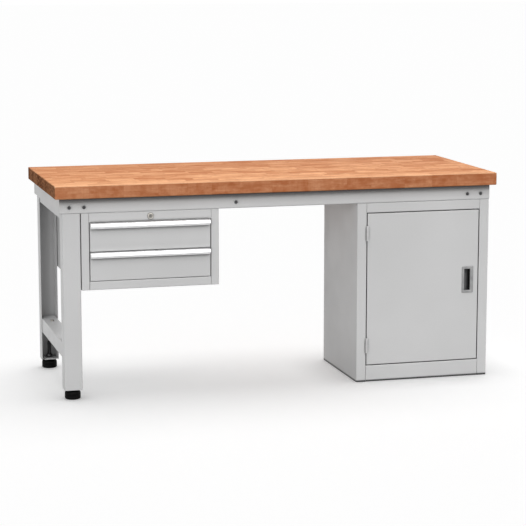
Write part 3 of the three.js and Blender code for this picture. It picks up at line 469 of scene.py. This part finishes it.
def rounded(corners, steps=CORNER_STEPS):
    """Outline in two coordinates whose corners (a, b, radius) are rounded."""
    points = []
    count = len(corners)
    for index, (a, b, radius) in enumerate(corners):
        here = Vector((a, b))
        into = (here - Vector(corners[index - 1][:2])).normalized()
        out = (Vector(corners[(index + 1) % count][:2]) - here).normalized()
        turn = math.atan2(into.x * out.y - into.y * out.x, into.dot(out))
        start = here - into * (radius * math.tan(abs(turn) / 2))
        centre = start + Vector((-into.y, into.x)) * math.copysign(radius, turn)
        arm = start - centre
        for step in range(steps + 1):
            angle = turn * step / steps
            cos, sin = math.cos(angle), math.sin(angle)
            points.append(centre + Vector((arm.x * cos - arm.y * sin, arm.x * sin + arm.y * cos)))
    return points


def oblong(a0, a1, b0, b1, radius):
    return rounded([(a0, b0, radius), (a1, b0, radius), (a1, b1, radius), (a0, b1, radius)])


def plate(build, outline_at, low, high, edge, point):
    """Flat plate between two levels with eased edges; outline_at(inset) gives its outline."""
    levels = [(low, edge), (low + edge, 0.0), (high - edge, 0.0), (high, edge)]
    loft(build, [[point(spot, height) for spot in outline_at(inset)] for height, inset in levels])


def apron_bolts():
    """Button-head bolts with washers in the holes of the front apron."""
    low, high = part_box("apron_front")
    places = [low.x + inset for inset in BOLT_PLACES]
    places += [BRACE_MIDDLE]
    places += [high.x - inset for inset in reversed(BOLT_PLACES)]
    washer = BOLT_WASHER / 2
    head = BOLT_HEAD / 2
    flats = BOLT_SOCKET / 2
    rise = BOLT_WASHER_SHEET
    profile = [
        (BOLT_SHANK / 2, -0.012),
        (BOLT_SHANK / 2, 0.00005),
        (washer - 0.0003, 0.00005),
        (washer, 0.0003),
        (washer, rise - 0.0003),
        (washer - 0.0003, rise),
        (head, rise),
        (head, rise + 0.0008),
    ]
    for step in range(1, CORNER_STEPS + 1):
        angle = math.pi / 2 * step / CORNER_STEPS
        swell = head - (head - flats * 1.35) * (1 - math.cos(angle))
        profile.append((swell, rise + 0.0008 + (BOLT_HEAD_HEIGHT - 0.0008) * math.sin(angle)))
    profile.append((flats * 1.16, rise + BOLT_HEAD_HEIGHT, flats))
    profile.append((flats * 1.16, rise + 0.001, flats))
    for number, x in enumerate(places, 1):
        build = bmesh.new()
        turned(build, (x, low.y, high.z - BOLT_DROP), "-y", profile)
        add_piece(f"apron_bolt_{number}", build, "black_steel", "frame", finish=bolt_steel)


def rail_bolts():
    """Hexagon bolts with washers in the two holes of the lower leg rail."""
    low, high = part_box("leg_rail_lower")
    flats = RAIL_BOLT_FLATS / 2
    corner = flats * 2 / math.sqrt(3)
    bevel = (corner - flats) * 0.6
    rise = RAIL_BOLT_WASHER_SHEET
    top = rise + RAIL_BOLT_HEIGHT
    profile = [
        (RAIL_BOLT_SHANK / 2 - 0.0008, -RAIL_BOLT_REACH),
        (RAIL_BOLT_SHANK / 2, -RAIL_BOLT_REACH + 0.0008),
        (RAIL_BOLT_SHANK / 2, 0.00005),
        (RAIL_BOLT_WASHER / 2 - 0.0003, 0.00005),
        (RAIL_BOLT_WASHER / 2, 0.0003),
        (RAIL_BOLT_WASHER / 2, rise - 0.0003),
        (RAIL_BOLT_WASHER / 2 - 0.0003, rise),
        (corner, rise, flats),
        (corner, top - bevel, flats),
        (flats * 0.96, top),
    ]
    for place, side in (("front", -1), ("rear", 1)):
        build = bmesh.new()
        turned(build, ((low.x + high.x) / 2, side * RAIL_BOLT_PLACE, high.z), "z", profile)
        add_piece(f"rail_bolt_{place}", build, "nickel", "frame", finish=dull_nickel)


def foot_stem(place):
    """Threaded stem of a levelling foot: a single-start thread on a round bar."""
    low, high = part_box(f"foot_stem_{place}")
    middle = Vector(((low.x + high.x) / 2, (low.y + high.y) / 2, 0))
    major = (high.x - low.x) / 2
    sides = 24
    count = int((high.z - low.z) / THREAD_PITCH * 8)
    loops = []
    for step in range(count + 1):
        z = low.z + (high.z - low.z) * step / count
        room = major - 0.0018 + (high.z - z)
        loop = []
        for side in range(sides):
            angle = 2 * math.pi * side / sides
            phase = (z / THREAD_PITCH - side / sides) % 1.0
            flank = min(1.0, max(0.0, abs(phase - 0.5) * 2.6 - 0.15))
            reach = min(major - THREAD_DEPTH * flank, room)
            loop.append(middle + Vector((reach * math.cos(angle), reach * math.sin(angle), z)))
        loops.append(loop)
    build = bmesh.new()
    loft(build, loops)
    name = f"stem_thread_{place}"
    add_piece(name, build, "black_steel", f"foot_{place}", [f"foot_stem_{place}"], math.radians(60))


def foot_nut(place):
    """Hexagon jam nut with chamfered corners and a countersunk bore."""
    low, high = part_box(f"foot_nut_{place}")
    stem_low, stem_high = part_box(f"foot_stem_{place}")
    flats = (high.x - low.x) / 2
    bore = (stem_high.x - stem_low.x) / 2 + 0.0003
    corner = flats * 2 / math.sqrt(3)
    tall = high.z - low.z
    bevel = (corner - flats) * 0.62
    profile = [
        (bore + 0.001, 0.0),
        (flats * 0.98, 0.0),
        (corner, bevel, flats),
        (corner, tall - bevel, flats),
        (flats * 0.98, tall),
        (bore + 0.001, tall),
        (bore, tall - 0.001),
        (bore, 0.001),
    ]
    build = bmesh.new()
    turned(build, ((low.x + high.x) / 2, (low.y + high.y) / 2, low.z), "z", profile, wrap=True)
    add_piece(f"jam_nut_{place}", build, "black_steel", "frame", [f"foot_nut_{place}"])


def foot_pad(place):
    """Moulded foot with a rolled shoulder, a waist line and a shallow dish round the stem."""
    low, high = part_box(f"foot_pad_{place}")
    radius = (high.x - low.x) / 2
    tall = high.z - low.z
    turns = [math.pi / 2 * step / (CORNER_STEPS + 1) for step in range(CORNER_STEPS + 2)]
    profile = []
    for angle in turns:
        profile.append((radius - PAD_HEEL * (1 - math.sin(angle)), PAD_HEEL * (1 - math.cos(angle))))
    profile += [(radius, PAD_GROOVE - 0.0008), (radius - 0.0006, PAD_GROOVE), (radius, PAD_GROOVE + 0.0008)]
    for angle in turns:
        reach = radius - PAD_SHOULDER * (1 - math.cos(angle))
        profile.append((reach, tall - PAD_SHOULDER * (1 - math.sin(angle))))
    profile += [(0.0145, tall), (0.0135, tall - 0.0006), (0.012, tall - 0.0006)]
    build = bmesh.new()
    turned(build, ((low.x + high.x) / 2, (low.y + high.y) / 2, low.z), "z", profile)
    add_piece(f"foot_moulding_{place}", build, "black_plastic", f"foot_{place}", [f"foot_pad_{place}"])


def grip_strip(place):
    """Bright strip along a drawer's upper edge, an extrusion with a rolled nose and lip."""
    low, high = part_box(f"drawer_{place}_grip")
    corners = [
        (0.0, 0.0, 0.0006),
        (0.009, 0.0, 0.0035),
        (0.0122, -0.0022, 0.0032),
        (0.017, -0.0132, 0.0022),
        (0.0158, -0.0168, 0.001),
        (0.0136, -0.0168, 0.0005),
        (0.0098, -0.0048, 0.001),
        (0.003, -0.0048, 0.001),
        (0.003, -0.023, 0.0006),
        (0.0, -0.023, 0.0004),
    ]
    outline = rounded(corners, 4)
    middle = sum(outline, Vector((0, 0))) / len(outline)
    loops = []
    for x, size in ((low.x, 0.96), (low.x + 0.0006, 1.0), (high.x - 0.0006, 1.0), (high.x, 0.96)):
        section = [middle + (spot - middle) * size for spot in outline]
        loops.append([Vector((x, high.y - spot.x, high.z + spot.y)) for spot in section])
    build = bmesh.new()
    loft(build, loops)
    add_piece(f"grip_strip_{place}", build, "grip", f"drawer_{place}", [f"drawer_{place}_grip"])


def lock():
    """Lock with a domed rose, and a turning plug with a key slot and a tongue behind."""
    low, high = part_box("lock_body")
    middle = Vector((low.x + LOCK_ROSE, LOCK_FACE, low.z + LOCK_ROSE))
    front = LOCK_FACE - low.y
    back = LOCK_FACE - high.y
    profile = [(LOCK_BARREL, back), (LOCK_BARREL, 0.00005), (LOCK_ROSE - 0.0002, 0.00005)]
    for step in range(CORNER_STEPS + 1):
        angle = math.pi / 2 * step / CORNER_STEPS
        reach = LOCK_ROSE - 0.0026 * (1 - math.cos(angle))
        profile.append((reach, 0.0012 + (front - 0.0012) * math.sin(angle)))
    profile += [(LOCK_BORE + 0.0004, front), (LOCK_BORE, front - 0.0004), (LOCK_BORE, back)]
    build = bmesh.new()
    turned(build, middle, "-y", profile, wrap=True)
    add_piece("lock_rose", build, "nickel", "frame", ["lock_body"])

    low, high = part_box("lock_rotor")
    front = LOCK_FACE - low.y
    sides = 96
    steps = [(PLUG, LOCK_FACE - high.y), (PLUG, front - 0.0005), (PLUG - 0.0005, front)]
    loops = [ring(middle, "-y", *step, sides=sides) for step in steps]
    half, tall, deep = KEY_SLOT
    for height in (front, front - deep):
        loop = []
        for side in range(sides):
            angle = 2 * math.pi * (side + 0.5) / sides
            reach = min(half / abs(math.cos(angle)), tall / abs(math.sin(angle)))
            spot = Vector((reach * math.cos(angle), -height, reach * math.sin(angle)))
            loop.append(middle + spot)
        loops.append(loop)
    build = bmesh.new()
    loft(build, loops)

    def tongue_outline(inset):
        left, right = middle.x - TONGUE_HALF + inset, high.x - inset
        bottom, top = middle.z - TONGUE_HALF + inset, middle.z + TONGUE_HALF - inset
        return oblong(left, right, bottom, top, 0.004)

    def on_tongue(spot, depth):
        return Vector((spot.x, depth, spot.y))

    plate(build, tongue_outline, high.y - TONGUE_SHEET, high.y, 0.0003, on_tongue)
    add_piece("lock_plug", build, "nickel", "drawer_lock", ["lock_rotor"], finish=dull_nickel)


def knuckle(build, middle, bottom, top):
    """One curled third of a hinge, with eased ends."""
    curl = 0.0006
    profile = [
        (KNUCKLE - curl, bottom),
        (KNUCKLE, bottom + curl),
        (KNUCKLE, top - curl),
        (KNUCKLE - curl, top),
    ]
    turned(build, middle, "z", profile)


def leaf(build, left, front, back, bottom, top):
    """Upright hinge leaf, one sheet thick across x."""

    def outline(inset):
        return oblong(left, left + LEAF_SHEET, front + inset, back - inset, LEAF_SHEET / 3)

    plate(build, outline, bottom, top, 0.0003, lambda spot, height: Vector((spot.x, spot.y, height)))


def hinge(place):
    """Knuckle hinge: two outer knuckles with the pin on the frame, the middle one on the door."""
    low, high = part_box(f"hinge_{place}_fixed")
    middle = ((low.x + high.x) / 2, low.y + KNUCKLE, low.z)
    tall = high.z - low.z
    third = tall / 3
    build = bmesh.new()
    knuckle(build, middle, 0.0, third)
    knuckle(build, middle, tall - third, tall)
    turned(build, middle, "z", [(PIN, 0.0005), (PIN, tall - 0.0005)])
    left = middle[0] - 0.0015
    for bottom in (low.z, high.z - third):
        leaf(build, left, middle[1], LEAF_FRONT + 0.001, bottom, bottom + third)
    leaf(build, left, LEAF_FRONT, high.y, low.z, high.z)
    add_piece(f"hinge_fixed_leaf_{place}", build, "hinge_steel", "frame", [f"hinge_{place}_fixed"])

    low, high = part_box(f"hinge_{place}_moving")
    build = bmesh.new()
    knuckle(build, middle, third + HINGE_GAP, tall - third - HINGE_GAP)
    left = middle[0] + 0.0015 - LEAF_SHEET
    bottom, top = middle[2] + third + HINGE_GAP, middle[2] + tall - third - HINGE_GAP
    leaf(build, left, middle[1], LEAF_FRONT + 0.001, bottom, top)
    leaf(build, left, LEAF_FRONT, high.y, low.z, high.z)
    add_piece(f"hinge_door_leaf_{place}", build, "hinge_steel", "cabinet_door", [f"hinge_{place}_moving"])


def pull_frame():
    """Frame of the recessed pull: eased outer and inner edges round the finger window."""
    low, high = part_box("pull_frame")
    half, tall = PULL_WINDOW
    middle_x = (low.x + high.x) / 2 + PULL_WINDOW_SHIFT
    middle_z = (low.z + high.z) / 2
    ease = 0.001

    def outer(inset):
        radius = PULL_CORNER - inset
        return oblong(low.x + inset, high.x - inset, low.z + inset, high.z - inset, radius)

    def inner(grown):
        right, up = half + grown, tall + grown
        radius = PULL_WINDOW_CORNER + grown
        return oblong(middle_x - right, middle_x + right, middle_z - up, middle_z + up, radius)

    outlines = [(outer(0.0), high.y), (outer(0.0), low.y + ease)]
    for step in range(1, 4):
        angle = math.pi / 2 * step / 3
        outlines.append((outer(ease * (1 - math.cos(angle))), low.y + ease * (1 - math.sin(angle))))
    for step in range(4):
        angle = math.pi / 2 * step / 3
        outlines.append((inner(ease * (1 - math.sin(angle))), low.y + ease * (1 - math.cos(angle))))
    outlines.append((inner(0.0), high.y))
    build = bmesh.new()
    loops = [[Vector((spot.x, depth, spot.y)) for spot in outline] for outline, depth in outlines]
    loft(build, loops, wrap=True)
    add_piece("pull_surround", build, "pull_frame", "cabinet_door", ["pull_frame"])


for foot in ("front", "rear"):
    foot_stem(foot)
    foot_nut(foot)
    foot_pad(foot)
apron_bolts()
rail_bolts()
for drawer in ("upper", "lower"):
    grip_strip(drawer)
lock()
for hinge_place in ("upper", "lower"):
    hinge(hinge_place)
pull_frame()


def seen_rays(tree):
    """1 for rays that show a surface to the camera, straight, mirrored or through glass."""
    rays = tree.nodes.new("ShaderNodeLightPath").outputs
    joined = rays["Is Camera Ray"]
    for name in ("Is Glossy Ray", "Is Transmission Ray"):
        either = tree.nodes.new("ShaderNodeMath")
        either.operation = "MAXIMUM"
        tree.links.new(joined, either.inputs[0])
        tree.links.new(rays[name], either.inputs[1])
        joined = either.outputs[0]
    return joined


def between(tree, share, low, high, start=0.0):
    scale = tree.nodes.new("ShaderNodeMapRange")
    scale.inputs["From Min"].default_value = start
    scale.inputs["To Min"].default_value = low
    scale.inputs["To Max"].default_value = high
    tree.links.new(share, scale.inputs["Value"])
    return scale.outputs[0]


def backdrop():
    """Pale floor that keeps the object's shadow and is white where nothing stands on it; near the object
    ambient occlusion cuts its lift, a painted contact shadow.
    """
    mesh = bpy.data.meshes.new("floor")
    corners = [(-1, -1), (1, -1), (1, 1), (-1, 1)]
    mesh.from_pydata([(x * FLOOR_REACH, y * FLOOR_REACH, 0.0) for x, y in corners], [], [(0, 1, 2, 3)])
    floor = bpy.data.objects.new("floor", mesh)
    bpy.context.scene.collection.objects.link(floor)
    material = bpy.data.materials.new("pale_floor")
    material.use_nodes = True
    tree = material.node_tree
    shader = tree.nodes["Principled BSDF"]
    shader.inputs["Roughness"].default_value = 0.9
    shader.inputs["Specular IOR Level"].default_value = 0.0
    shader.inputs["Base Color"].default_value = (FLOOR_TONE, FLOOR_TONE, FLOOR_TONE, 1.0)
    shader.inputs["Emission Color"].default_value = (1.0, 1.0, 1.0, 1.0)
    # Ambient occlusion cuts the floor's lift near the object: a painted contact shadow.
    reach, least = FLOOR_CONTACT
    open_sky = tree.nodes.new("ShaderNodeAmbientOcclusion")
    open_sky.samples = 16
    open_sky.inputs["Distance"].default_value = reach
    lift = between(tree, open_sky.outputs["AO"], FLOOR_LIFT * least, FLOOR_LIFT, 0.45)
    shown = tree.nodes.new("ShaderNodeMath")
    shown.operation = "MULTIPLY"
    tree.links.new(lift, shown.inputs[0])
    tree.links.new(seen_rays(tree), shown.inputs[1])
    tree.links.new(shown.outputs[0], shader.inputs["Emission Strength"])
    mesh.materials.append(material)
    return floor


def studio(floor):
    """Even white surroundings and broad lamps; the floor is lit by those named for it alone."""
    apart = bpy.data.collections.new("apart")
    apart.objects.link(floor)
    apart.collection_objects[0].light_linking.link_state = "EXCLUDE"
    world = bpy.data.worlds.new("studio")
    bpy.context.scene.world = world
    world.use_nodes = True
    tree = world.node_tree
    shader = tree.nodes["Background"]
    shader.inputs["Color"].default_value = (1.0, 1.0, 1.0, 1.0)
    tree.links.new(between(tree, seen_rays(tree), SKY, 1.0), shader.inputs["Strength"])
    for name, (toward, strength, width) in LAMPS.items():
        data = bpy.data.lights.new(name, "SUN")
        data.energy = strength
        data.angle = math.radians(width)
        light = bpy.data.objects.new(name, data)
        bpy.context.scene.collection.objects.link(light)
        light.rotation_euler = Vector(toward).to_track_quat("Z", "Y").to_euler()
        if name not in FLOOR_LAMPS:
            light.light_linking.receiver_collection = apart


def camera():
    data = bpy.data.cameras.new("view")
    data.sensor_width = SENSOR
    data.lens = CAMERA_FOCAL * SENSOR
    data.clip_end = 200.0
    view = bpy.data.objects.new("view", data)
    bpy.context.scene.collection.objects.link(view)
    view.location = CAMERA_PLACE
    view.rotation_euler = (math.pi / 2 + CAMERA_TILT, 0.0, -CAMERA_TURN)
    bpy.context.scene.camera = view


studio(backdrop())
camera()
bpy.context.scene.view_settings.view_transform = "Standard"
